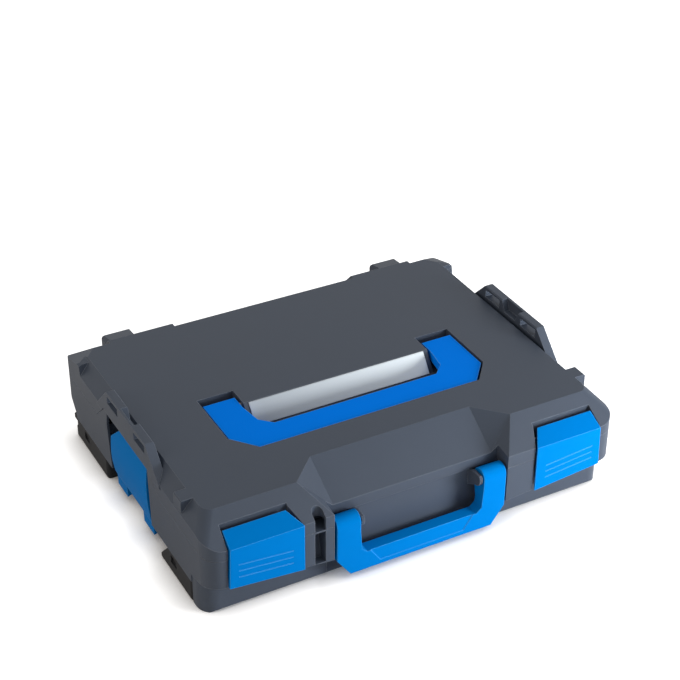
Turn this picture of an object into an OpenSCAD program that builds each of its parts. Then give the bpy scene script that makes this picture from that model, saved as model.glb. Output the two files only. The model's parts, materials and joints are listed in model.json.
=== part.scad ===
// Stackable hard tool case: base, hinged lid, two snap latches, two handles and two stacking levers.
// +X is the right side, +Y the hinge side and +Z up. The origin lies under the middle of the case.

/* [Case] */
// Width of the base and the lid over the side walls
case_w = 440; // [420:1:470]
// Depth from the latch fronts to the backs of the hinge covers
case_d = 365; // [350:1:390]
// Height of the flat top of the lid
lid_z = 104; // [100:1:112]
// Height of the parting line between base and lid
seam_z = 70.5; // [69:0.5:72]
// Height of the parting line under the stacking brackets
high_seam_z = 91.5; // [90:0.5:92]
// Wall thickness of the base and the lid
wall = 2.6; // [2:0.1:3.2]
// Radius of the upright corners at the front
front_corner_r = 18; // [14:1:20]
// Radius of the upright corners at the back
back_corner_r = 8; // [4:1:10]
// How far the parting line lies lower between the latches
mid_drop = 2.4; // [2:0.1:3]
// Gap between the base and the lid along the parting line
seam_gap = 0.4; // [0.3:0.1:0.6]

/* [Base] */
// How far the side skirts stand out over the pan
skirt_w = 12; // [11:0.5:14]
// Height of the underside of the side skirts
skirt_z = 24.5; // [23:0.5:26]
// How far the case stands back behind its latch fronts
front_step = 2.5; // [2:0.5:4]
// Gap between the carry handle and each wall of its bay
bay_gap = 2.3; // [1.5:0.1:3]
// Depth of the bay behind the carry handle
bay_d = 20.6; // [19:0.1:22]
// How far the foot of the bay wall stands forward
bay_foot = 2; // [1:0.5:3]
// Height of that foot
bay_foot_z = 18.5; // [16:0.5:20]
// Height of the underside of the front where it meets the bay
front_turn_z = 29; // [28:0.5:30]
// Angle at which that underside rises to the sides
turn_angle = 5.3; // [4:0.1:6]
// Angle at which that underside rises to the front
tuck_angle = 10.8; // [8:0.2:12]
// How far the lower body stands back behind the front
front_turn_d = 15.5; // [14:0.5:17]
// Length of the full-width corner blocks of the lower body
corner_l = 39; // [36:1:42]
// Height where the back wall turns in
back_turn_z = 52; // [46:1:56]

/* [Lid] */
// Depth of the sloped band along the front of the lid
front_slope_d = 33; // [30:1:36]
// Height of the upright lip at the front of the lid
lip_h = 11; // [10:0.5:12]
// Width and drop of the slope along the back of the lid
back_slope = 14; // [12:1:16]
// Width of that slope away from the hinges
low_slope_w = 19.5; // [17:0.5:21]
// Width of the slope along each side of the lid
side_slope_w = 13; // [10:0.5:16]
// Drop of the slope along each side of the lid
side_slope_h = 14.5; // [12:0.5:16]
// Depth of the sloped field in the middle of the lid
field_d = 43.4; // [40:0.2:46]
// Height of the front edge of that field
field_z = 77.3; // [76:0.1:79]
// How far the hanging lip under that edge stands in front of the bay wall
lip_out = 1.9; // [1.8:0.1:2.4]
// How far that lip hangs below the parting line
lip_drop = 4.2; // [4:0.1:4.6]
// Drop of the back corners of the lid, in degrees to the back
corner_dip = 14.7; // [12:0.1:16]
// Drop of the back corners of the lid, in degrees to the side
corner_lean = 18.6; // [16:0.1:20]
// Length of the filled side slope at a back corner
corner_block_l = 44.5; // [40:0.5:48]

/* [Stacking] */
// Height of the stacking brackets
bracket_z = 118; // [116:0.5:120]
// Length of the flat top of a bracket
bracket_top_l = 97; // [90:1:104]
// Length of a bracket at its foot
bracket_foot_l = 160; // [150:1:164]
// Thickness of a bracket
bracket_t = 9.4; // [8:0.2:10]
// Middle of the brackets and of the side levers, along the depth
bracket_y = 1.5; // [0:0.5:3]
// Length of a window in a bracket
window_l = 27; // [20:1:30]
// Distance between the middles of the two windows of a bracket
window_pitch = 67; // [60:1:70]
// Gap between the front and the back runner on each side
runner_gap = 134; // [130:1:138]
// Length of the raised tail of a back runner
tail_l = 11; // [9:0.5:12]
// Height of that tail
tail_z = 26; // [25:0.5:27]

/* [Front latches] */
// Distance of a front latch from the side of the case
latch_side = 20; // [18:0.5:22]
// Width of the pillars between the latches and the bay
pillar_w = 31.5; // [30:0.5:33]
// Gap around a front latch in its recess
latch_gap = 1.4; // [1.2:0.1:1.6]
// Height of the pin that a front latch turns on
latch_pin_z = 83.5; // [83:0.5:84]
// Distance of that pin behind the latch front
latch_pin_y = 12.5; // [12:0.5:13]
// Diameter of a latch pin
latch_pin_d = 4; // [3:0.5:5]
// Thickness of a latch plate
latch_t = 4; // [3:0.5:4.5]
// Rise of the slanted head of a latch above its pin
latch_rise = 8.5; // [7:0.5:8.5]
// Width of the tie slot in the left front pillar
tie_w = 11; // [8:0.5:12]

/* [Carry handle] */
// Outer width of the carry handle
grip_w = 182.4; // [180:0.4:184]
// Height of the pin that the carry handle turns on
grip_pin_z = 63; // [61:0.5:64]
// Radius of the handle arms around that pin
grip_arm_r = 9; // [8:0.5:9.5]
// Diameter of a carry handle pin
grip_pin_d = 6; // [5:0.5:8]
// Height of the underside of the grip
grip_z0 = 5.5; // [4:0.5:8]
// Height of the top of the grip
grip_z1 = 27; // [24:0.5:29]
// Thickness of the grip from front to back
grip_t = 13; // [11:0.5:14]

/* [Lid handle] */
// Outer width of the lid handle
top_grip_w = 280; // [270:1:284]
// Width of each arm of the lid handle
top_arm_w = 34; // [30:1:36]
// Front edge of the lid handle
top_grip_y0 = -81; // [-84:0.5:-79]
// Width of the bar of the lid handle, from front to back
top_bar_w = 29.5; // [28:0.5:31]
// Size of the slanted inner corners of the lid handle
top_corner = 12; // [10:1:14]
// Back ends of the arms of the lid handle
top_grip_y1 = 5.5; // [4:0.5:6]
// How far the lid handle lies below the lid top
top_grip_drop = 1.6; // [1:0.2:2.4]
// Thickness of the lid handle
top_grip_t = 10; // [9:0.5:11]
// Depth of the well below the lid top
well_d = 20; // [19.5:0.5:22]
// Diameter of a lid handle pin
top_pin_d = 5; // [4:0.5:6]
// Gap between the lid handle and its well
well_gap = 1.8; // [1.4:0.1:2.4]

/* [Side levers] */
// Length of a side lever at its foot
lever_l = 96; // [90:2:100]
// Distance of the pin of a side lever from the side of the case
lever_pin_in = 7.5; // [7:0.5:8]
// Height of the pin that a side lever turns on
lever_pin_z = 58; // [56:1:60]
// Diameter of a side lever pin
lever_pin_d = 4; // [3:0.5:5]
// Height of the lower edge of a lever
lever_z0 = 25.5; // [24:0.5:28]
// Thickness of a lever plate
lever_t = 3; // [2.5:0.5:3.5]
// Radius of the curved lever face
lever_face_r = 160; // [140:5:200]
// Depth of the bay that holds a side lever
lever_bay_d = 14; // [13.5:0.1:15]

/* [Hinge] */
// Distance of each hinge from the side of the case
hinge_side = 60; // [54:1:70]
// Width of a hinge cover on the lid
hinge_w = 31.5; // [30:0.5:36]
// Width of a knuckle on the base
knuckle_w = 12; // [10:0.5:14]
// Height of the hinge axis
hinge_z = 84; // [83:0.5:85]
// Distance of the hinge axis behind the back wall
hinge_out = 2; // [1.5:0.5:3]
// Distance of the hinge axis in front of the backs of the hinge covers
hinge_back = 10; // [9.5:0.1:10.5]
// Diameter of a hinge pin
hinge_pin_d = 5; // [4:0.5:6]

/* [Fits] */
// Radial clearance of the pins in their bores
pin_fit = 0.05; // [0.03:0.01:0.09]
// Gap between parts that move past each other
run_gap = 0.6; // [0.5:0.1:0.8]
// Gap between parts that are seated on each other
seat_gap = 0.3; // [0.2:0.1:0.4]

/* [Hidden] */
$fn = 48;
far = 700;
// Sets a round just off tangent, so that it meets its neighbours in a clean line
graze = 0.06;
half_w = case_w / 2;
pan_hw = half_w - skirt_w;
grip_hw = grip_w / 2;
bay_hw = grip_hw + bay_gap;
latch_x0 = bay_hw + pillar_w;
latch_x1 = half_w - latch_side;
hinge_x = half_w - hinge_side;
latch_front_y = -case_d / 2;
front_y = latch_front_y + front_step;
cover_back_y = case_d / 2;
hinge_y = cover_back_y - hinge_back;
back_y = hinge_y - hinge_out;
back_low_y = back_y - 20;
back_low_z = back_turn_z - 24;
bay_y = front_y + bay_d;
inner_front_y = bay_y + wall;
step_y = front_y + front_turn_d;
corner_y = front_y + corner_l;
field_y0 = bay_y - lip_out;
field_y1 = field_y0 + field_d;
lip_z = seam_z + lip_h;
mid_seam_z = seam_z - mid_drop;
mid_x = latch_x0 + 4;
slope_y = front_y + front_slope_d;
front_rise = (lid_z - lip_z) / front_slope_d;
latch_recess_y = front_y + 7.5;
latch_y = latch_front_y + latch_pin_y;
latch_hub_r = 5;
latch_head_r = 10.5;
latch_slant = 12;
rib_t = 2.4;
rib_z = seam_z - 16;
rib_in = 22;
tie_x = bay_hw + 14.5;
grip_front_y = latch_front_y + 1.3;
grip_y = grip_front_y + grip_arm_r;
arm_x0 = grip_hw - 24.7;
ear_x1 = arm_x0 - 1.2;
ear_x0 = ear_x1 - 3.2;
ear_skin = 0.8;
top_z = lid_z - top_grip_drop;
top_hw = top_grip_w / 2;
top_pin_y = top_grip_y1 - 8.5;
top_pin_z = top_z - top_grip_t / 2;
well_hw = top_hw + well_gap;
island_hw = top_hw - top_arm_w - 2.6;
well_y0 = top_grip_y0 - well_gap;
well_y1 = top_grip_y1 + 8.4;
plate_y = -10.3;
plate_run = 14.8;
plate_hw = island_hw - 5;
rise_y0 = bracket_y - bracket_foot_l / 2 + 4;
rise_y1 = bracket_y + bracket_foot_l / 2 + 4;
bay_in_x = half_w - lever_bay_d;
lever_hl = lever_l / 2;
lever_y0 = bracket_y - lever_hl - 5.5;
lever_y1 = bracket_y + lever_hl + 12.5;
lever_x = half_w - lever_pin_in;
lever_face_x = half_w + 0.8;
notch_x = bay_in_x + 1.6;
drum_z = (lever_z0 + high_seam_z) / 2 - 8.5;
cover_gap_x = 54;
bracket_x1 = half_w + 1;
bracket_x0 = bracket_x1 - bracket_t;
runner_z = skirt_z - seat_gap;
runner_x0 = pan_hw + seat_gap;
runner_x1 = half_w - 0.3;
cover_top_z = lid_z - 7.5;
rim_h = 4;

// ---- Helpers -------------------------------------------------------------

// Pushes a drawing in Y and Z along X
module along_x(x0, x1) {
    translate([x0, 0, 0]) rotate([90, 0, 90]) linear_extrude(x1 - x0) children();
}

// Pushes a drawing in X and Z along Y
module along_y(y0, y1) {
    translate([0, y1, 0]) rotate([90, 0, 0]) linear_extrude(y1 - y0) children();
}

// A box between two corners
module block(a, b) {
    translate(a) cube(b - a);
}

// The children and their mirror image
module both_sides() {
    children();
    mirror([1, 0, 0]) children();
}

// The children on the left (-1) or the right (1)
module on_side(side) {
    mirror([side < 0 ? 1 : 0, 0, 0]) children();
}

// A rod along X
module rod_x(x0, x1, y, z, d) {
    translate([x0, y, z]) rotate([0, 90, 0]) cylinder(d = d, h = x1 - x0);
}

// A rod along Y
module rod_y(y0, y1, x, z, d) {
    translate([x, y1, z]) rotate([90, 0, 0]) cylinder(d = d, h = y1 - y0);
}

// The plan of the case, drawn in by t, with its front edge at y0
module plan(t, y0) {
    rf = max(front_corner_r - t, 1);
    rb = max(back_corner_r - t, 1);
    hw = half_w - t;
    y1 = back_y - t;
    translate([-hw, y0 + rf]) square([2 * hw, y1 - y0 - rf - rb]);
    translate([-hw + rf, y0]) square([2 * hw - 2 * rf, rf + 1]);
    translate([-hw + rb, y1 - rb - 1]) square([2 * hw - 2 * rb, rb + 1]);
    for (s = [-1, 1]) {
        translate([s * (hw - rf), y0 + rf]) circle(rf);
        translate([s * (hw - rb), y1 - rb]) circle(rb);
    }
}

// ---- Base ----------------------------------------------------------------

// The outer form of the base, drawn in by t
module base_form(t, y0, top) {
    edge = 3;
    intersection() {
        translate([0, 0, t]) linear_extrude(top - t) plan(t, y0);
        along_x(-far, far) polygon([[step_y + edge, t], [back_low_y - t, t],
            [back_low_y - t, back_low_z], [back_y - t, back_turn_z], [back_y - t, top], [y0, top],
            [y0, t + edge], [step_y, t + edge]]);
        union() {
            along_y(-far, far) polygon([[-pan_hw + t, t], [pan_hw - t, t], [pan_hw - t, skirt_z + t],
                [half_w - t, skirt_z + t], [half_w - t, top], [-half_w + t, top],
                [-half_w + t, skirt_z + t], [-pan_hw + t, skirt_z + t]]);
            block([-half_w + t, -far, t], [half_w - t, corner_y - t, skirt_z + t + 1]);
        }
    }
}

// The space of the bay behind the carry handle, grown by t
module handle_bay(t) {
    along_x(-bay_hw - t, bay_hw + t) polygon([[front_y - 30, -1], [bay_y - bay_foot + t, -1],
        [bay_y + t, bay_foot_z], [bay_y + t, far], [front_y - 30, far]]);
}

// The height of the underside of the front at x
function turn_z(x) = front_turn_z + (x - bay_hw) * tan(turn_angle);

// What the front loses below its slanted underside, in front of the lower body
module front_turn() {
    difference() {
        intersection() {
            translate([bay_hw, front_y, front_turn_z]) rotate([-tuck_angle, -turn_angle, 0])
                block([-far, -far, -far], [far, far, 0]);
            block([bay_hw - 1, front_y - 1, -1], [half_w + 1, corner_y, seam_z]);
        }
        translate([0, 0, -2]) linear_extrude(seam_z + 4) plan(1, step_y);
    }
}

// The raised side wall under a bracket
module side_rise(t) {
    along_x(half_w - wall, half_w + t) polygon([
        [rise_y0 - t, seam_z - 1], [rise_y0 + 26 - t, high_seam_z + t],
        [rise_y1 - 24 + t, high_seam_z + t], [rise_y1 + t, seam_z - 1]]);
}

// The window in the side wall that shows a lever
module lever_window() {
    along_x(half_w - wall - 1, far) polygon([[lever_y0 + 3, skirt_z - 2],
        [lever_y0 + 6, high_seam_z - 3], [lever_y1 - 6.5, high_seam_z - 3],
        [lever_y1 - 3.5, high_seam_z - 17], [lever_y1 - 9.5, skirt_z - 2]]);
}

// A piece of the rim that guides the lid, along a side wall
module side_rim(y0, y1) {
    x1 = half_w - wall;
    block([x1 - 2, y0, seam_z - 8], [x1 + 0.5, y1, seam_z]);
    block([x1 - 2, y0, seam_z - 1], [x1 - seam_gap, y1, seam_z + rim_h]);
}

// An ear on the wall of the bay that holds one end of a handle pin
module grip_ear() {
    difference() {
        along_x(ear_x0, ear_x1) union() {
            translate([grip_y, grip_pin_z]) circle(grip_arm_r - 1);
            polygon([[grip_y + 2, grip_pin_z + 6], [bay_y + 1, mid_seam_z - 4],
                [bay_y + 1, grip_pin_z - 16], [grip_y - 4, grip_pin_z - 6]]);
        }
        rod_x(ear_x0 + ear_skin, ear_x1 + 1, grip_y, grip_pin_z, grip_pin_d + 2 * pin_fit);
    }
}

// A hinge knuckle behind the base
module base_knuckle() {
    along_x(hinge_x - knuckle_w / 2, hinge_x + knuckle_w / 2) difference() {
        union() {
            translate([hinge_y, hinge_z]) circle(7);
            polygon([[back_y - 1, back_turn_z + 2], [back_y - 1, seam_z],
                [back_y + seat_gap, seam_z], [back_y + seat_gap, hinge_z],
                [hinge_y, hinge_z], [hinge_y + 5, hinge_z - 5]]);
        }
        translate([hinge_y, hinge_z]) circle(d = hinge_pin_d + 2 * pin_fit);
    }
}

module base_shell() {
    color([0.27, 0.30, 0.33]) difference() {
        union() {
            difference() {
                base_form(0, front_y, seam_z);
                handle_bay(0);
                both_sides() front_turn();
                difference() {
                    base_form(wall, inner_front_y, seam_z + 1);
                    handle_bay(wall);
                    both_sides() block([bay_in_x - wall, lever_y0 - wall, 0],
                        [half_w, lever_y1 + wall, lid_z]);
                }
            }
            both_sides() {
                side_rise(0);
                side_rim(corner_y, rise_y0 - 10);
                side_rim(rise_y1 + 8, rise_y1 + 22);
                grip_ear();
                base_knuckle();
            }
            // The rim that guides the lid, along the front
            block([-latch_x1 + rib_in, inner_front_y - 0.5, seam_z - 8],
                [latch_x1 - rib_in, inner_front_y + 2, seam_z]);
            block([-latch_x1 + rib_in, inner_front_y + seam_gap, seam_z - 1],
                [latch_x1 - rib_in, inner_front_y + 2, seam_z + rim_h]);
        }
        both_sides() {
            // Bay of the side lever, its window and the bores of its pin
            block([bay_in_x, lever_y0, skirt_z - 2], [half_w - wall, lever_y1, lid_z]);
            block([bay_in_x, lever_y0, skirt_z - 2], [pan_hw + 1, lever_y1, skirt_z + 1]);
            lever_window();
            rod_y(lever_y0 - wall - 1, lever_y1 + wall + 1, lever_x, lever_pin_z,
                lever_pin_d + 2 * pin_fit);
            // Recess of the front latch
            along_y(front_y - 10, latch_recess_y) latch_outline(latch_gap, 10);
            // Bore of the handle pin in the pillar
            rod_x(bay_hw - 1, bay_hw + 4, grip_y, grip_pin_z, grip_pin_d + 2 * pin_fit);
            // Room for the lower edge of the lid between the latches
            block([-1, front_y - 1, mid_seam_z], [mid_x, inner_front_y, seam_z + 1]);
            // Hollow behind that recess
            block([latch_x0, latch_recess_y + wall, front_turn_z + 13], [latch_x1, bay_y, seam_z + 1]);
        }
        // Hollow in the right pillar
        block([bay_hw + 5, front_y + 4, front_turn_z + 6], [latch_x0 - 4, bay_y, seam_z + 1]);
        // Tie groove in the left pillar, deepest at the top
        along_x(-tie_x - tie_w / 2, -tie_x + tie_w / 2) polygon([[front_y - 5, front_turn_z + 2],
            [front_y + 9.5, front_turn_z + 2], [front_y + 17, seam_z - 4], [front_y - 5, seam_z - 4]]);
    }
    // Ribs that the latch noses snap against
    color([0.27, 0.30, 0.33]) both_sides()
        block([latch_x0 + rib_in, latch_recess_y - rib_t, rib_z],
            [latch_x1 - rib_in, latch_recess_y + 0.5, rib_z + 5]);
}

// ---- Runners -------------------------------------------------------------

// A runner under a side skirt, from y0 to y1
module runner(y0, y1) {
    r = 4;
    difference() {
        intersection() {
            along_y(y0, y1) polygon([[runner_x0, 0], [runner_x1 - 1.5, 0], [runner_x1, 1.7],
                [runner_x1, runner_z], [runner_x0, runner_z]]);
            linear_extrude(far) {
                translate([runner_x0, y0 + r]) square([runner_x1 - runner_x0, y1 - y0 - 2 * r]);
                translate([runner_x0, y0]) square([runner_x1 - runner_x0 - r, y1 - y0]);
                for (y = [y0 + r, y1 - r]) translate([runner_x1 - r, y]) circle(r);
            }
        }
        // Pocket in the outer face and hollow from below
        block([runner_x1 - 2, y1 - 40, 11], [runner_x1 + 1, y1 - 27, runner_z - 4]);
        block([runner_x0 + 3, y0 + 6, -1], [runner_x1 - 4, y1 - 6, 4]);
    }
}

module runner_front(side) {
    y1 = bracket_y - runner_gap / 2;
    on_side(side) color([0.09, 0.09, 0.10]) difference() {
        runner(corner_y + seat_gap, y1);
        // Slanted end
        along_x(0, far) polygon([[y1 + 1, 2.6], [y1, 2.6], [y1 - runner_z + 2.6, runner_z + 1],
            [y1 + 1, runner_z + 1]]);
    }
}

module runner_back(side) {
    y0 = back_low_y + 1.5;
    y1 = y0 + tail_l;
    foot_z = 12;
    notch_z = 18;
    on_side(side) color([0.09, 0.09, 0.10]) {
        difference() {
            runner(bracket_y + runner_gap / 2, y1 - 5);
            block([runner_x0 - 1, y0, foot_z], [half_w, y1, runner_z + 1]);
        }
        // Raised tail behind the pan, over a notch
        along_x(runner_x0, runner_x1 - 1) polygon([[y0 - 4, notch_z], [y1, notch_z],
            [y1, tail_z - 3], [y1 - 3, tail_z], [y0, tail_z], [y0, runner_z], [y0 - 4, runner_z]]);
    }
}

// ---- Lid -----------------------------------------------------------------

// The outer form of the lid, drawn in by t, with its front edge at y0
module lid_form(t, y0) {
    intersection() {
        translate([0, 0, seam_z + seam_gap]) linear_extrude(far) plan(t, y0);
        along_x(-far, far) polygon([[front_y + t, seam_z], [front_y + t, lip_z - 0.6 * t],
            [slope_y + 0.5 * t, lid_z - t], [back_y - back_slope - 0.4 * t, lid_z - t],
            [back_y - t, lid_z - back_slope - 0.4 * t], [back_y - t, seam_z]]);
        along_y(-far, far) polygon([[-half_w + t, seam_z], [half_w - t, seam_z],
            [half_w - t, lid_z - side_slope_h - 0.4 * t], [half_w - side_slope_w - 0.6 * t, lid_z - t],
            [-half_w + side_slope_w + 0.6 * t, lid_z - t],
            [-half_w + t, lid_z - side_slope_h - 0.4 * t]]);
    }
}

// The wedge over the sloped field in the middle of the front, grown by t
module field_cut(t) {
    x_back = bay_hw - 7 + t;
    x_wide = bay_hw + 21.5 + t;
    x_low = bay_hw + 0.5 + t;
    front_z = lid_z - front_rise * front_slope_d;
    hull() for (s = [-1, 1]) {
        translate([s * x_back, field_y1 + t, lid_z - 0.01]) tip();
        translate([s * x_back, field_y1 + t, lid_z + 20]) tip();
        translate([s * x_wide, slope_y + t, lid_z - 0.01]) tip();
        translate([s * x_wide, slope_y + t, lid_z + 20]) tip();
        translate([s * x_low, front_y - 1, front_z - t]) tip();
        translate([s * x_wide, front_y - 20, lid_z + 20]) tip();
        translate([s * (bay_hw - 8 + t), field_y0, field_z - t]) tip();
    }
}

// What rounds the edge between the front slope and the side slope, drawn in by t
module corner_round(t) {
    side = [side_slope_h, 0, side_slope_w] / norm([side_slope_h, side_slope_w]);
    front = [0, lip_z - lid_z, front_slope_d] / norm([lid_z - lip_z, front_slope_d]);
    along = cross(side, front) / norm(cross(side, front));
    out = (side + front) / norm(side + front);
    across = cross(along, out);
    turn = acos(side * front) / 2;
    r = front_corner_r - t;
    p = [half_w - side_slope_w, slope_y, lid_z] - out * t / cos(turn);
    x = r * cos(turn) - r / cos(turn);
    multmatrix([[out.x, across.x, along.x, p.x], [out.y, across.y, along.y, p.y],
        [out.z, across.z, along.z, p.z], [0, 0, 0, 1]])
        translate([0, 0, -60]) linear_extrude(120) difference() {
            polygon([[x, -r * sin(turn)], [x + 6 * cos(turn), -(r + 6) * sin(turn)], [6, 0],
                [x + 6 * cos(turn), (r + 6) * sin(turn)], [x, r * sin(turn)]]);
            translate([graze - r / cos(turn), 0]) circle(r);
        }
}

// What the back slope loses away from the hinges, where it is wider, grown by t
module back_cut(t) {
    x0 = hinge_x - cover_gap_x + t;
    x1 = hinge_x + hinge_w / 2 + 2 - t;
    for (x = [[-x0, x0], [x1, half_w + 1], [-half_w - 1, -x1]]) along_x(x[0], x[1]) polygon([
        [back_y - low_slope_w - t, lid_z - t], [back_y - t, lid_z - back_slope - 0.4 * t],
        [back_y + 1, lid_z - back_slope - 0.4 * t], [back_y + 1, lid_z + 1],
        [back_y - low_slope_w - t, lid_z + 1]]);
}

// What lies above the plane that falls to a back corner of the lid
module corner_cut() {
    l = 46;
    translate([half_w - 24, back_y - 17.5, lid_z - 0.5]) rotate([-corner_dip, corner_lean, 0])
        block([-l, -l, 0], [far, far, far]);
}

// A point-sized cube for the corners of a hull
module tip() {
    cube(0.02, center = true);
}

// The well of the lid handle, grown by t, cut w deep
module well(t, w) {
    translate([0, 0, lid_z - w]) linear_extrude(far) difference() {
        polygon([[-well_hw - t, well_y1 + t], [-well_hw - t, top_grip_y0 + 24 - t],
            [-well_hw + 21 - t, well_y0 - t], [well_hw - 21 + t, well_y0 - t],
            [well_hw + t, top_grip_y0 + 24 - t], [well_hw + t, well_y1 + t]]);
        translate([-island_hw + t, plate_y + t]) square([2 * (island_hw - t), far]);
    }
}

// The sloped shelf that carries the label plate
module plate_shelf(t) {
    along_x(-island_hw + t, island_hw - t) polygon([[plate_y + 1, lid_z - well_d],
        [plate_y - plate_run, lid_z - well_d - 0.01], [plate_y, lid_z], [plate_y + 1, lid_z]]);
}

// The front view of a latch, grown by g, with its lower edge lowered by drop
module latch_outline(g, drop) {
    polygon([[latch_x0 - g, turn_z(latch_x0) - drop], [latch_x1 + g, turn_z(latch_x1) - drop],
        [latch_x1 - 1.6 + g, latch_pin_z], [latch_x1 - 3.5 + g, lid_z + 1], [latch_x0 - g, lid_z + 1]]);
}

// The plan of a latch, grown by g; the inner side of its head slants back by slant
module latch_plan(g, slant) {
    slant_y = latch_y + 8;
    polygon([[latch_x0 - g, latch_front_y - 9], [latch_x0 - g, latch_front_y + 1],
        [latch_x0 + slant - g, slant_y], [latch_x0 + slant - g, slant_y + 3],
        [latch_x1 + g, slant_y + 3], [latch_x1 + g, latch_front_y - 9]]);
}

// The recess over a front latch; it slants less, so that the head has room as it turns
module latch_recess() {
    intersection() {
        union() {
            block([0, front_y - 9, seam_z + 4], [half_w, latch_y + latch_head_r, lid_z + 1]);
            block([0, front_y - 9, mid_seam_z - 1], [half_w, latch_recess_y - 5, lid_z]);
        }
        along_y(-far, 0) latch_outline(latch_gap, seam_z);
        linear_extrude(far) latch_plan(latch_gap, 0.7 * latch_slant);
    }
}

// A lug that fills the side slope near a front corner
module lug(y0, y1) {
    along_y(y0, y1) polygon([[half_w - side_slope_w - 8, lid_z - 10], [half_w - 0.6, lid_z - side_slope_h],
        [half_w - 0.6, lid_z - 1.2], [half_w - 1.8, lid_z], [half_w - side_slope_w - 8, lid_z]]);
}

// The filled side slope from y0 to a back corner
module corner_block(y0) {
    intersection() {
        translate([0, 0, seam_z + seam_gap]) linear_extrude(far) plan(0, front_y);
        along_x(half_w - side_slope_w - 11, half_w) polygon([[y0, lid_z - 24], [y0 + 5, lid_z],
            [back_y - back_slope, lid_z], [back_y, lid_z - back_slope], [back_y, lid_z - 24]]);
        along_y(-far, far) polygon([[0, 0], [half_w, 0], [half_w, lid_z - 4], [half_w - 3, lid_z - 2.6],
            [half_w - 24, lid_z - 0.9], [0, lid_z - 0.9]]);
    }
}

// The outline of a stacking bracket, pushed from its inner face to x1
module bracket_form(x1) {
    foot_z = lid_z - 17.5;
    along_x(bracket_x0, x1) polygon([
        [bracket_y - bracket_foot_l / 2, foot_z], [bracket_y - bracket_top_l / 2, bracket_z],
        [bracket_y + bracket_top_l / 2, bracket_z], [bracket_y + bracket_foot_l / 2, foot_z]]);
}

// A stacking bracket, set into a side of the lid
module bracket(side) {
    on_side(side) color([0.28, 0.31, 0.35]) difference() {
        bracket_form(bracket_x1);
        side_notch();
        // Windows that take the hooks of the case above
        for (s = [-1, 1]) translate([0, bracket_y + s * window_pitch / 2, 0])
            along_x(bracket_x0 - 1, bracket_x1 + 1) polygon([
                [-window_l / 2, lid_z + 1.6], [window_l / 2, lid_z + 1.6],
                [window_l / 2, bracket_z - 4.4], [-window_l / 2, bracket_z - 3]]);
        // Valley between them, open to the inside
        along_x(bracket_x0 - 1, bracket_x1 - wall) polygon([
            [bracket_y - 16, bracket_z + 1], [bracket_y - 10, lid_z + 2],
            [bracket_y + 10, lid_z + 2], [bracket_y + 16, bracket_z + 1]]);
        // Bevel along the inner top edge
        translate([bracket_x0, 0, bracket_z]) rotate([0, 45, 0]) cube([1.6, far, 1.6], center = true);
    }
}

// The notch in the lid that leaves room for the raised side wall of the base
module side_notch() {
    along_x(notch_x, far) polygon([
        [rise_y0 - 1.3 * seam_gap, seam_z - 1], [rise_y0 + 26 - seam_gap, high_seam_z + seam_gap],
        [rise_y1 - 24 + seam_gap, high_seam_z + seam_gap], [rise_y1 + 1.3 * seam_gap, seam_z - 1]]);
}

// The form of a hinge cover with its two knuckles
module hinge_form() {
    x0 = hinge_x - hinge_w / 2;
    x1 = hinge_x + hinge_w / 2;
    intersection() {
        union() {
            rod_x(x0, x1, hinge_y, hinge_z, 2 * hinge_back - 2 * graze);
            along_x(x0, x1) polygon([[hinge_y - 24, lid_z - 3], [hinge_y - 14, lid_z - 4],
                [cover_back_y - 3, cover_top_z], [cover_back_y, cover_top_z - 3],
                [cover_back_y, hinge_z + 1], [hinge_y + 2, hinge_z + 1], [hinge_y + 2, hinge_z - 4],
                [back_y - wall, hinge_z - 4], [back_y - wall, hinge_z + 2], [hinge_y - 14, lid_z - 14]]);
        }
        along_y(hinge_y - 30, far) polygon([[x0, 0], [x1, 0], [x1, cover_top_z - 5],
            [x1 - 5, lid_z], [x0 + 4, lid_z], [x0, cover_top_z - 5]]);
    }
}

// Room for the base knuckle and the bore of the hinge pin
module hinge_room() {
    room_w = knuckle_w / 2 + run_gap;
    rod_x(hinge_x - room_w, hinge_x + room_w, hinge_y, hinge_z, 2 * 7.8);
    block([hinge_x - room_w, back_y + 0.01, seam_z - 1], [hinge_x + room_w, cover_back_y + 1, hinge_z]);
    block([hinge_x - room_w, hinge_y, hinge_z - 1], [hinge_x + room_w, cover_back_y + 1, hinge_z + 6.5]);
    rod_x(hinge_x - hinge_w, hinge_x + hinge_w, hinge_y, hinge_z, hinge_pin_d + 2 * pin_fit);
}

// A hinge cover, set against the back of the lid
module hinge_cover(side) {
    on_side(side) color([0.28, 0.31, 0.35]) difference() {
        hinge_form();
        lid_form(0, front_y);
        hinge_room();
    }
}

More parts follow.
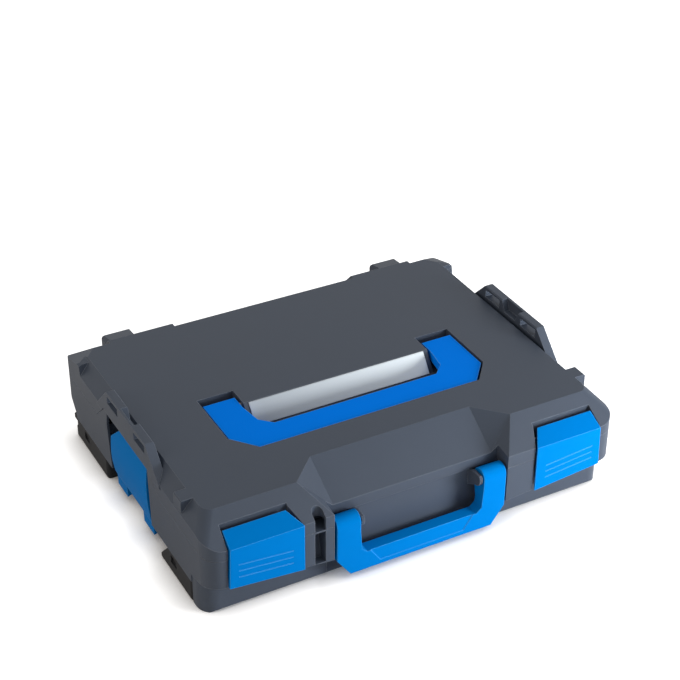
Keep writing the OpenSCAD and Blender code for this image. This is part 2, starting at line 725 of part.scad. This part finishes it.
module lid_shell() {
    color([0.28, 0.31, 0.35]) difference() {
        union() {
            difference() {
                lid_form(0, front_y);
                // Room inside the lid
                difference() {
                    lid_form(wall, inner_front_y);
                    field_cut(wall);
                    back_cut(wall);
                    both_sides() translate([0, 0, -wall]) corner_cut();
                    both_sides() corner_round(wall);
                    well(wall, well_d + wall);
                    plate_shelf(-wall);
                    both_sides() block([bay_in_x - 1, rise_y0 - 4, 0], [half_w, rise_y1 + 4, lid_z]);
                }
            }
            // Lower edge between the latches
            block([-mid_x, front_y, mid_seam_z + seam_gap],
                [mid_x, inner_front_y - seam_gap, seam_z + 2]);
            // Lip that hangs in front of the bay wall
            block([-bay_hw + seat_gap, field_y0, seam_z - lip_drop],
                [bay_hw - seat_gap, bay_y - seat_gap, seam_z]);
            both_sides() {
                lug(front_y + 56, front_y + 72);
                corner_block(back_y - corner_block_l);
                // Backing of the hinge cover
                intersection() {
                    hinge_form();
                    lid_form(0, front_y);
                }
            }
        }
        field_cut(0);
        back_cut(0);
        // Bay over the carry handle
        block([-bay_hw, front_y - 30, mid_seam_z - 5], [bay_hw, field_y0, lid_z]);
        difference() {
            well(0, well_d);
            plate_shelf(0);
        }
        both_sides() {
            corner_cut();
            corner_round(0);
            latch_recess();
            side_notch();
            rod_x(latch_x0 + 0.7, latch_x1 + 4.3, latch_y, latch_pin_z, latch_pin_d + 2 * pin_fit);
            rod_x(island_hw - wall - 0.5, well_hw + wall + 0.5, top_pin_y, top_pin_z,
                top_pin_d + 2 * pin_fit);
            bracket_form(far);
            hinge_room();
            // Hollows in the front blocks
            block([bay_hw + wall, front_y + 4, mid_seam_z - 1], [latch_x0 - 6, bay_y - wall, lip_z - 4]);
        }
        // Tie slot in the left pillar
        translate([-tie_x, front_y, 0]) linear_extrude(far) {
            translate([0, 11.5 - tie_w / 2]) circle(d = tie_w);
            translate([-tie_w / 2, -1]) square([tie_w, 12.5 - tie_w / 2]);
        }
    }
}

module label_plate() {
    g = seat_gap;
    drop = well_d - 1;
    run = plate_run * drop / well_d;
    color([0.74, 0.77, 0.80]) along_x(-plate_hw, plate_hw) polygon([[plate_y - g, lid_z - g],
        [plate_y - run - g, lid_z - drop - g], [plate_y - run - g - 1.5, lid_z - drop - g],
        [plate_y - g - 1.5, lid_z - g]]);
}

// ---- Front latch ---------------------------------------------------------

// The side view of a latch: plate, head with its hub, and the nose that snaps under the rib
module latch_section() {
    y0 = latch_front_y;
    y1 = y0 + latch_t;
    nose_y = latch_recess_y - rib_t - seat_gap;
    top_y = latch_y + latch_hub_r + 0.5;
    polygon([[y0, 20], [y0, latch_pin_z - 1.2], [top_y, latch_pin_z + latch_rise],
        [top_y, latch_pin_z + latch_rise - 4], [latch_y + latch_hub_r, latch_pin_z],
        [latch_y + 4, latch_pin_z - 3.4], [latch_y + 2, latch_pin_z - latch_hub_r],
        [latch_y - 2, latch_pin_z - latch_hub_r], [y1 + 1, latch_pin_z - 8], [y1, latch_pin_z - 10],
        [y1, rib_z - seat_gap], [nose_y, rib_z - seat_gap], [nose_y, rib_z - 3], [y1, rib_z - 6],
        [y1, 20]]);
}

module latch(side) {
    line_l = (latch_x1 - latch_x0) * 0.72;
    line_x = latch_x1 - 9.5 - line_l / 2;
    on_side(side) color([0.0, 0.47, 0.87]) difference() {
        intersection() {
            along_x(latch_x0, latch_x1) latch_section();
            along_y(-far, 0) latch_outline(0, 0);
            linear_extrude(lid_z) latch_plan(0, latch_slant);
        }
        rod_x(latch_x0 - 1, latch_x1 + 1, latch_y, latch_pin_z, latch_pin_d + 2 * pin_fit);
        // Finger lines, parallel to the lower edge
        for (i = [0:2]) translate([line_x, latch_front_y, front_turn_z + 18 + 7 * i])
            rotate([0, -turn_angle, 0]) cube([line_l, 0.8, 0.9], center = true);
    }
}

module latch_pin(side) {
    on_side(side) color([0.20, 0.21, 0.23])
        rod_x(latch_x0 + 1, latch_x1 + 4, latch_y, latch_pin_z, latch_pin_d);
}

// ---- Carry handle --------------------------------------------------------

// The outline of the carry handle, in X and Z
module grip_outline() {
    top = grip_pin_z + grip_arm_r;
    half = [[grip_hw - 15, grip_z0], [grip_hw, grip_z0 + 21], [grip_hw, top], [arm_x0, top],
        [arm_x0, grip_pin_z - 10], [arm_x0 - 1.5, grip_z1 + 5], [arm_x0 - 7, grip_z1]];
    last = len(half) - 1;
    polygon(concat(half, [for (i = [0:last]) [-half[last - i][0], half[last - i][1]]]));
}

// The side view of the carry handle: round at the pin, straight down to the grip
module grip_section() {
    y0 = grip_front_y;
    y1 = y0 + grip_t;
    translate([grip_y, grip_pin_z]) circle(grip_arm_r);
    polygon([[y0, grip_pin_z], [y0, grip_z0 + 1.5], [y0 + 1.5, grip_z0], [y1 - 1, grip_z0],
        [y1, grip_z0 + 1], [y1, grip_z1 + 12], [y0 + 2 * grip_arm_r, grip_pin_z - 8],
        [y0 + 2 * grip_arm_r, grip_pin_z]]);
}

module carry_handle() {
    y0 = grip_front_y;
    color([0.0, 0.45, 0.86]) difference() {
        intersection() {
            along_y(-far, 0) grip_outline();
            along_x(-grip_hw, grip_hw) grip_section();
        }
        both_sides() rod_x(arm_x0 - 1, grip_hw + 1, grip_y, grip_pin_z, grip_pin_d + 2 * pin_fit);
        // Shallow field on the front of the grip
        along_y(y0 - 1, y0 + 0.8) polygon([[-arm_x0 + 10, grip_z1 + 1], [-arm_x0 + 21, grip_z0 + 6.3],
            [arm_x0 - 21, grip_z0 + 6.3], [arm_x0 - 10, grip_z1 + 1]]);
    }
}

module grip_pin(side) {
    on_side(side) color([0.20, 0.21, 0.23])
        rod_x(ear_x0 + ear_skin + 0.1, bay_hw + 3.7, grip_y, grip_pin_z, grip_pin_d);
}

// ---- Lid handle ----------------------------------------------------------

module lid_handle() {
    z0 = top_z - top_grip_t;
    inner_x = top_hw - top_arm_w;
    bar_x = inner_x - 4;
    bar_y1 = top_grip_y0 + top_bar_w;
    color([0.0, 0.42, 0.83]) difference() {
        translate([0, 0, z0]) linear_extrude(top_grip_t) difference() {
            polygon([[-top_hw, top_grip_y1], [-top_hw, top_grip_y0 + 25], [-top_hw + 21, top_grip_y0],
                [top_hw - 21, top_grip_y0], [top_hw, top_grip_y0 + 25], [top_hw, top_grip_y1]]);
            polygon([[-inner_x, far], [-inner_x, plate_y - 4], [-bar_x, bar_y1 + top_corner],
                [-bar_x + top_corner, bar_y1], [bar_x - top_corner, bar_y1],
                [bar_x, bar_y1 + top_corner], [inner_x, plate_y - 4], [inner_x, far]]);
        }
        both_sides() rod_x(inner_x - 8, top_hw + 1, top_pin_y, top_pin_z, top_pin_d + 2 * pin_fit);
        // Bevels along the front edge of the bar and over the arm ends
        translate([0, top_grip_y0, top_z]) rotate([45, 0, 0]) cube([far, 1.2, 1.2], center = true);
        translate([0, top_grip_y1, top_z]) rotate([45, 0, 0]) cube([far, 2, 2], center = true);
        // Finger hollow under the bar
        block([-inner_x + 12, top_grip_y0 + 5, z0 - 1], [inner_x - 12, bar_y1 - 5, z0 + 5]);
    }
}

module top_pin(side) {
    on_side(side) color([0.75, 0.76, 0.78])
        rod_x(island_hw - wall, well_hw + wall, top_pin_y, top_pin_z, top_pin_d);
}

// ---- Side lever ----------------------------------------------------------

// A drum along Y whose surface is the curved face of a lever
module lever_drum(t) {
    rod_y(-far / 2, far / 2, lever_face_x - lever_face_r, drum_z, 2 * (lever_face_r - t), $fn = 180);
}

// The outline of a lever, in Y and Z
module lever_outline() {
    top = high_seam_z - 3 - run_gap;
    polygon([[bracket_y - lever_hl, lever_z0], [bracket_y - 0.83 * lever_hl, top - 5],
        [bracket_y - 0.73 * lever_hl, top], [bracket_y + 0.5 * lever_hl, top],
        [bracket_y + 0.98 * lever_hl, top - 21], [bracket_y + lever_hl, top - 48],
        [bracket_y + 0.94 * lever_hl, lever_z0]]);
}

// A hook at the foot of a lever, drawn in X and Z
module lever_hook() {
    polygon([[half_w - 1.4, lever_z0 + 5], [half_w - 4, lever_z0 + 4], [half_w - 6.5, lever_z0 - 4],
        [half_w - 6.5, 12], [half_w - 8.4, 11], [half_w - 8.4, 9.6], [half_w - 3.5, 8],
        [half_w - 3.3, lever_z0 - 6], [half_w - 1.6, lever_z0 - 1]]);
}

module side_lever(side) {
    knuckle_l = lever_hl / 6;
    on_side(side) color([0.0, 0.36, 0.76]) difference() {
        union() {
            intersection() {
                along_x(half_w - 12, half_w + 5) lever_outline();
                difference() {
                    lever_drum(0);
                    lever_drum(lever_t);
                }
            }
            for (y = [bracket_y - 0.77 * lever_hl, bracket_y + 0.65 * lever_hl]) {
                rod_y(y, y + knuckle_l, lever_x, lever_pin_z, lever_pin_d + 5);
                block([lever_x, y, lever_pin_z - 4], [half_w - 1.4, y + knuckle_l, lever_pin_z + 4]);
            }
            // Hooks that hold the case below
            for (s = [-1, 1]) translate([0, bracket_y + s * window_pitch / 2, 0])
                along_y(-window_l / 2 + 1, window_l / 2 - 1) lever_hook();
        }
        rod_y(-far / 2, far / 2, lever_x, lever_pin_z, lever_pin_d + 2 * pin_fit);
    }
}

module lever_pin(side) {
    on_side(side) color([0.75, 0.76, 0.78])
        rod_y(lever_y0 - wall + 0.3, lever_y1 + wall - 0.3, lever_x, lever_pin_z, lever_pin_d);
}

module hinge_pin(side) {
    on_side(side) color([0.75, 0.76, 0.78])
        rod_x(hinge_x - hinge_w / 2 + 1, hinge_x + hinge_w / 2 - 1, hinge_y, hinge_z, hinge_pin_d);
}

base_shell();
runner_front(-1);  // runner_front_left
runner_front(1);  // runner_front_right
runner_back(-1);  // runner_back_left
runner_back(1);  // runner_back_right
hinge_pin(-1);  // hinge_pin_left
hinge_pin(1);  // hinge_pin_right
grip_pin(-1);  // grip_pin_left
grip_pin(1);  // grip_pin_right
lever_pin(-1);  // lever_pin_left
lever_pin(1);  // lever_pin_right
side_lever(-1);  // side_lever_left
side_lever(1);  // side_lever_right
carry_handle();
lid_shell();
bracket(-1);  // bracket_left
bracket(1);  // bracket_right
hinge_cover(-1);  // hinge_cover_left
hinge_cover(1);  // hinge_cover_right
label_plate();
latch_pin(-1);  // latch_pin_left
latch_pin(1);  // latch_pin_right
top_pin(-1);  // top_pin_left
top_pin(1);  // top_pin_right
latch(-1);  // latch_left
latch(1);  // latch_right
lid_handle();
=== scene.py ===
"""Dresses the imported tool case: moulded plastic, blue latches and handles, silver plate."""
import json
from math import cos, radians, sin

import bpy
from mathutils import Matrix, Vector


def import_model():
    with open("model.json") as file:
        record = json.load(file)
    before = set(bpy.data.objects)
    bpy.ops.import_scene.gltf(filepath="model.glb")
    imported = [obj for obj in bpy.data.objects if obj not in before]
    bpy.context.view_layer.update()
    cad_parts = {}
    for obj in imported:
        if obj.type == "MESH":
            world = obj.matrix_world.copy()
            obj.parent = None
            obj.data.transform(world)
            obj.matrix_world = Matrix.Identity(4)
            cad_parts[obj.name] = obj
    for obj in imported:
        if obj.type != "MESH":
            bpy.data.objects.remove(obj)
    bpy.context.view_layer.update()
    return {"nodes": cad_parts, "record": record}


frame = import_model()
NODES = frame["nodes"]
MM = 0.001

# ---- Camera --------------------------------------------------------------
CAMERA_AT = (-0.64081, -1.19867, 1.00019)   # metres, in the frame of the case
AZIMUTH, ELEVATION, ROLL = 28.4396, 32.3317, 0.3052   # degrees
LENS = 86.24                                # mm, on a sensor 36 mm wide

# ---- Colours, as sRGB from 0 to 255 --------------------------------------
# The worn colours paint lighter edges: partly real wear, partly a painted highlight
ANTHRACITE = (67, 75, 88)
ANTHRACITE_WORN_SHEEN = (128, 136, 148)
BLACK = (30, 31, 34)
BLACK_WORN_SHEEN = (58, 60, 64)
BLUE = (0, 114, 192)
BLUE_WORN_SHEEN = (100, 178, 240)
# Painted light: a brighter copy of the blue for the lid handle, which sits on top where less light
# falls
BLUE_LIT_TOP = (0, 128, 246)
BLUE_LIT_TOP_WORN_SHEEN = (150, 220, 255)
DARK_STEEL = (70, 72, 76)
STEEL = (176, 179, 184)
SILVER = (170, 179, 188)
SILVER_LIT_RIGHT = (224, 234, 240)              # painted light: the plate's colour at its right end, brighter where more light falls
SILVER_WORN_SHEEN = (206, 210, 214)
FLOOR = (246, 246, 246)

# ---- Sizes and measures of the finish ------------------------------------
LIT_SWEEP_MM = 85                               # half the width of the silver plate, over which its painted light brightens
EDGE = 0.5                                  # mm, the rounding of an edge
EDGE_OF = {"lid_handle": 1.0, "carry_handle": 0.9}    # mm, where an edge is rounder
CLOUD_SCALE = 18.0                          # clouds in a metre of plastic
WEAR_SHEEN_REACH = 0.9                            # mm from an edge that are lighter: partly burnished, partly a painted highlight
WEAR_SHEEN_FROM, WEAR_SHEEN_TO = 0.995, 0.86            # how far the rounded normal leaves the true one
WEAR_SHEEN_SHARE = 0.65                           # share of the worn colour, partly a painted highlight, on a sharp edge
DRAWN_SCALE = (40.0, 2500.0, 2500.0)        # grain along and across a drawn rod, a metre
FLOOR_HALF = 6                              # metres
CONTACT = 0.03                              # metres over which the contact shadow fades
PAPER_GLOW = 0.8                            # the floor's own white, to the camera only
SKY_LEVEL = 0.4                             # the studio's light, where 1 is white


def linear(colour):
    """The linear RGBA of an sRGB colour written from 0 to 255."""
    rgb = [c / 255 for c in colour]
    return [c / 12.92 if c <= 0.04045 else ((c + 0.055) / 1.055) ** 2.4 for c in rgb] + [1.0]


# ---- Materials -----------------------------------------------------------
def node(tree, kind, **values):
    """Adds a shader node; values set its attributes or, by name, its input sockets."""
    made = tree.nodes.new(kind)
    for name, value in values.items():
        if hasattr(made, name):
            setattr(made, name, value)
        else:
            made.inputs[name.replace("_", " ")].default_value = value
    return made


def moulded(name, colour, worn_sheen, rough, grain_mm, grain_mm_high, gloss=0.5, cloud=0.06,
            ior=1.5, lit_right=None):
    """Moulded plastic: fine spark-eroded grain, faint clouding, lighter edges that are partly worn
    and partly a painted highlight.

    The colour at the right end, if given, is painted light: the face brightens along X towards the
    right, where more light falls.
    """
    mat = bpy.data.materials.new(name)
    mat.use_nodes = True
    tree = mat.node_tree
    link = tree.links.new
    bsdf = tree.nodes["Principled BSDF"]
    bsdf.inputs["Specular IOR Level"].default_value = gloss
    bsdf.inputs["IOR"].default_value = ior
    place = node(tree, "ShaderNodeTexCoord")
    clouds = node(tree, "ShaderNodeTexNoise", Scale=CLOUD_SCALE, Detail=3.0, Roughness=0.55)
    grain = node(tree, "ShaderNodeTexNoise", Scale=1.0 / (grain_mm * MM), Detail=2.0, Roughness=0.6)
    link(place.outputs["Object"], clouds.inputs["Vector"])
    link(place.outputs["Object"], grain.inputs["Vector"])
    base, edge = linear(colour), linear(worn_sheen)
    dark = [c * (1 - cloud) for c in base[:3]] + [1.0]
    light = [c * (1 + cloud) for c in base[:3]] + [1.0]
    tone = node(tree, "ShaderNodeMix", data_type="RGBA")
    tone.inputs[6].default_value = dark
    tone.inputs[7].default_value = light
    link(clouds.outputs["Fac"], tone.inputs[0])
    # Painted light: the colour brightens along X towards the right end
    if lit_right:
        spot = node(tree, "ShaderNodeSeparateXYZ")
        link(place.outputs["Object"], spot.inputs["Vector"])
        along = node(tree, "ShaderNodeMapRange")
        along.inputs["From Min"].default_value = -LIT_SWEEP_MM * MM
        along.inputs["From Max"].default_value = LIT_SWEEP_MM * MM
        link(spot.outputs["X"], along.inputs["Value"])
        plain, tone = tone, node(tree, "ShaderNodeMix", data_type="RGBA")
        link(along.outputs["Result"], tone.inputs[0])
        link(plain.outputs[2], tone.inputs[6])
        tone.inputs[7].default_value = linear(lit_right)
    # Edges: where a rounded normal leaves the true one, the colour turns lighter, partly real
    # burnishing and partly a painted highlight
    soft = node(tree, "ShaderNodeBevel", samples=4, Radius=WEAR_SHEEN_REACH * MM)
    form = node(tree, "ShaderNodeNewGeometry")
    match = node(tree, "ShaderNodeVectorMath", operation="DOT_PRODUCT")
    link(soft.outputs["Normal"], match.inputs[0])
    link(form.outputs["Normal"], match.inputs[1])
    wear_sheen = node(tree, "ShaderNodeMapRange")
    wear_sheen.inputs["From Min"].default_value = WEAR_SHEEN_FROM
    wear_sheen.inputs["From Max"].default_value = WEAR_SHEEN_TO
    wear_sheen.inputs["To Max"].default_value = WEAR_SHEEN_SHARE
    link(match.outputs["Value"], wear_sheen.inputs["Value"])
    shown = node(tree, "ShaderNodeMix", data_type="RGBA")
    link(wear_sheen.outputs["Result"], shown.inputs[0])
    link(tone.outputs[2], shown.inputs[6])
    shown.inputs[7].default_value = edge
    link(shown.outputs[2], bsdf.inputs["Base Color"])
    # Roughness follows the clouding, the bump follows the grain
    rubbed = node(tree, "ShaderNodeMapRange")
    rubbed.inputs["To Min"].default_value = rough - 0.05
    rubbed.inputs["To Max"].default_value = rough + 0.07
    link(clouds.outputs["Fac"], rubbed.inputs["Value"])
    link(rubbed.outputs["Result"], bsdf.inputs["Roughness"])
    bump = node(tree, "ShaderNodeBump", Strength=0.35, Distance=grain_mm_high * MM)
    link(grain.outputs["Fac"], bump.inputs["Height"])
    link(soft.outputs["Normal"], bump.inputs["Normal"])
    link(bump.outputs["Normal"], bsdf.inputs["Normal"])
    return mat


def steel(name, colour):
    """Drawn steel rod with fine lines along X."""
    mat = bpy.data.materials.new(name)
    mat.use_nodes = True
    tree = mat.node_tree
    link = tree.links.new
    bsdf = tree.nodes["Principled BSDF"]
    bsdf.inputs["Metallic"].default_value = 1.0
    bsdf.inputs["Base Color"].default_value = linear(colour)
    place = node(tree, "ShaderNodeTexCoord")
    drawn = node(tree, "ShaderNodeMapping")
    drawn.inputs["Scale"].default_value = DRAWN_SCALE
    lines = node(tree, "ShaderNodeTexNoise", Scale=1.0, Detail=3.0)
    link(place.outputs["Object"], drawn.inputs["Vector"])
    link(drawn.outputs["Vector"], lines.inputs["Vector"])
    rubbed = node(tree, "ShaderNodeMapRange")
    rubbed.inputs["To Min"].default_value = 0.25
    rubbed.inputs["To Max"].default_value = 0.45
    link(lines.outputs["Fac"], rubbed.inputs["Value"])
    link(rubbed.outputs["Result"], bsdf.inputs["Roughness"])
    bump = node(tree, "ShaderNodeBump", Strength=0.2, Distance=0.02 * MM)
    link(lines.outputs["Fac"], bump.inputs["Height"])
    link(bump.outputs["Normal"], bsdf.inputs["Normal"])
    return mat


case_plastic = moulded("case_plastic", ANTHRACITE, ANTHRACITE_WORN_SHEEN, 0.38, 0.45, 0.04, gloss=0.2)
black_plastic = moulded("black_plastic", BLACK, BLACK_WORN_SHEEN, 0.5, 0.5, 0.05, gloss=0.25)
blue_plastic = moulded("blue_plastic", BLUE, BLUE_WORN_SHEEN, 0.3, 0.6, 0.02, gloss=0.05,
                       cloud=0.03, ior=1.2)
# Painted light: the lid handle's blue is brightened to make up for the weaker light on top
blue_lit_top = moulded("blue_lit_top", BLUE_LIT_TOP, BLUE_LIT_TOP_WORN_SHEEN, 0.3, 0.6, 0.02, gloss=0.05,
                   cloud=0.03, ior=1.2)
# Painted light: the plate brightens towards its right end
silver_plate = moulded("silver_plate", SILVER, SILVER_WORN_SHEEN, 0.4, 0.5, 0.02, gloss=0.3,
                       cloud=0.03, lit_right=SILVER_LIT_RIGHT)
dark_rod = steel("dark_rod", DARK_STEEL)
rod_steel = steel("rod_steel", STEEL)
FINISH = {"base_shell": case_plastic, "lid_shell": case_plastic, "runners": black_plastic,
          "dark_pins": dark_rod, "steel_pins": rod_steel, "carry_handle": blue_plastic,
          "lid_handle": blue_lit_top, "latches": blue_plastic, "side_levers": blue_plastic,
          "label_plate": silver_plate}


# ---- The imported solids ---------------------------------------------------
def soften(piece, width, angle=13):
    """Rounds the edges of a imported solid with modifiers; its own mesh stays as it is."""
    weld = piece.modifiers.new("weld", "WELD")
    weld.merge_threshold = 0.001 * MM
    flat = piece.modifiers.new("flat", "DECIMATE")
    flat.decimate_type = "DISSOLVE"
    flat.angle_limit = radians(0.5)
    bevel = piece.modifiers.new("bevel", "BEVEL")
    bevel.width = width * MM
    bevel.segments = 2
    bevel.limit_method = "ANGLE"
    bevel.angle_limit = radians(angle)
    bevel.miter_outer = "MITER_ARC"
    even = piece.modifiers.new("even", "WEIGHTED_NORMAL")
    even.weight = 80
    for face in piece.data.polygons:
        face.use_smooth = True


for part in frame["record"]["subparts"]:
    solid = NODES[part["node"]]
    solid.data.materials.clear()
    solid.data.materials.append(FINISH[part["material_slot"]])
    soften(solid, EDGE_OF.get(part["node"], EDGE))


# ---- Floor, light and camera ---------------------------------------------
def floor():
    """A wide pale floor that stays white to the camera and keeps the shadow."""
    mesh = bpy.data.meshes.new("floor")
    h = FLOOR_HALF
    mesh.from_pydata([(-h, -h, 0), (h, -h, 0), (h, h, 0), (-h, h, 0)], [], [(0, 1, 2, 3)])
    ground = bpy.data.objects.new("floor", mesh)
    bpy.context.scene.collection.objects.link(ground)
    mat = bpy.data.materials.new("floor_paper")
    mat.use_nodes = True
    tree = mat.node_tree
    link = tree.links.new
    bsdf = tree.nodes["Principled BSDF"]
    bsdf.inputs["Base Color"].default_value = linear(FLOOR)
    bsdf.inputs["Roughness"].default_value = 0.95
    bsdf.inputs["Specular IOR Level"].default_value = 0.0
    # Painted contact shadow: the paper's own white, seen by the camera only, fades where the case
    # stands close over it
    path = node(tree, "ShaderNodeLightPath")
    painted_contact_shade = node(tree, "ShaderNodeAmbientOcclusion", samples=12, Distance=CONTACT)
    fade = node(tree, "ShaderNodeMapRange")
    fade.inputs["From Min"].default_value = 0.35
    fade.inputs["From Max"].default_value = 1.0
    fade.inputs["To Max"].default_value = PAPER_GLOW
    link(painted_contact_shade.outputs["AO"], fade.inputs["Value"])
    seen = node(tree, "ShaderNodeMath", operation="MULTIPLY")
    link(fade.outputs["Result"], seen.inputs[1])
    link(path.outputs["Is Camera Ray"], seen.inputs[0])
    bsdf.inputs["Emission Color"].default_value = (1, 1, 1, 1)
    link(seen.outputs["Value"], bsdf.inputs["Emission Strength"])
    mesh.materials.append(mat)


def world(level):
    """A plain white studio: white to the camera and in reflections, `level` as light."""
    sky = bpy.data.worlds.new("studio")
    bpy.context.scene.world = sky
    sky.use_nodes = True
    tree = sky.node_tree
    link = tree.links.new
    back = tree.nodes["Background"]
    back.inputs["Color"].default_value = (1, 1, 1, 1)
    path = node(tree, "ShaderNodeLightPath")
    direct = node(tree, "ShaderNodeMath", operation="MAXIMUM")
    clear = node(tree, "ShaderNodeMath", operation="MAXIMUM")
    link(path.outputs["Is Camera Ray"], direct.inputs[0])
    link(path.outputs["Is Glossy Ray"], direct.inputs[1])
    link(direct.outputs["Value"], clear.inputs[0])
    link(path.outputs["Is Transmission Ray"], clear.inputs[1])
    strength = node(tree, "ShaderNodeMapRange")
    strength.inputs["To Min"].default_value = level
    strength.inputs["To Max"].default_value = 1.0
    link(clear.outputs["Value"], strength.inputs["Value"])
    link(strength.outputs["Result"], back.inputs["Strength"])


def panel(name, at, aim, size, power, colour=(1, 1, 1), mirrored=True):
    """A soft box at `at`, facing `aim`, `size` metres square; `mirrored` shows it in gloss."""
    data = bpy.data.lights.new(name, "AREA")
    data.shape = "SQUARE"
    data.size = size
    data.energy = power
    data.color = colour
    lamp = bpy.data.objects.new(name, data)
    bpy.context.scene.collection.objects.link(lamp)
    lamp.visible_glossy = mirrored
    lamp.location = at
    lamp.rotation_euler = (Vector(aim) - Vector(at)).to_track_quat("-Z", "Y").to_euler()


def camera():
    """The photograph's view, from its azimuth, elevation and roll."""
    data = bpy.data.cameras.new("camera")
    data.lens = LENS
    data.sensor_width = 36.0
    data.clip_end = 50.0
    view = bpy.data.objects.new("camera", data)
    bpy.context.scene.collection.objects.link(view)
    az, el, roll = radians(AZIMUTH), radians(ELEVATION), radians(ROLL)
    ahead = Vector((sin(az) * cos(el), cos(az) * cos(el), -sin(el)))
    right = ahead.cross(Vector((0, 0, 1))).normalized()
    up = right.cross(ahead)
    turned_right = cos(roll) * right + sin(roll) * up
    turned_up = -sin(roll) * right + cos(roll) * up
    turn = Matrix((turned_right, turned_up, -ahead)).transposed()
    view.matrix_world = Matrix.Translation(CAMERA_AT) @ turn.to_4x4()
    bpy.context.scene.camera = view


floor()
world(SKY_LEVEL)
# Each lamp: where it stands and what it faces, in metres, its size and its watts
panel("key_light", (1.0, -1.33, 1.85), (0, 0, 0.05), 1.1, 8.8)
panel("front_light", (0.62, -0.72, 0.2), (0.15, -0.18, 0.06), 0.35, 9.8,
      mirrored=False)
panel("left_light", (-2.4, -0.3, 0.9), (0, 0, 0.05), 1.4, 14, (1.0, 0.82, 0.63))
camera()
bpy.context.scene.view_settings.view_transform = "Standard"
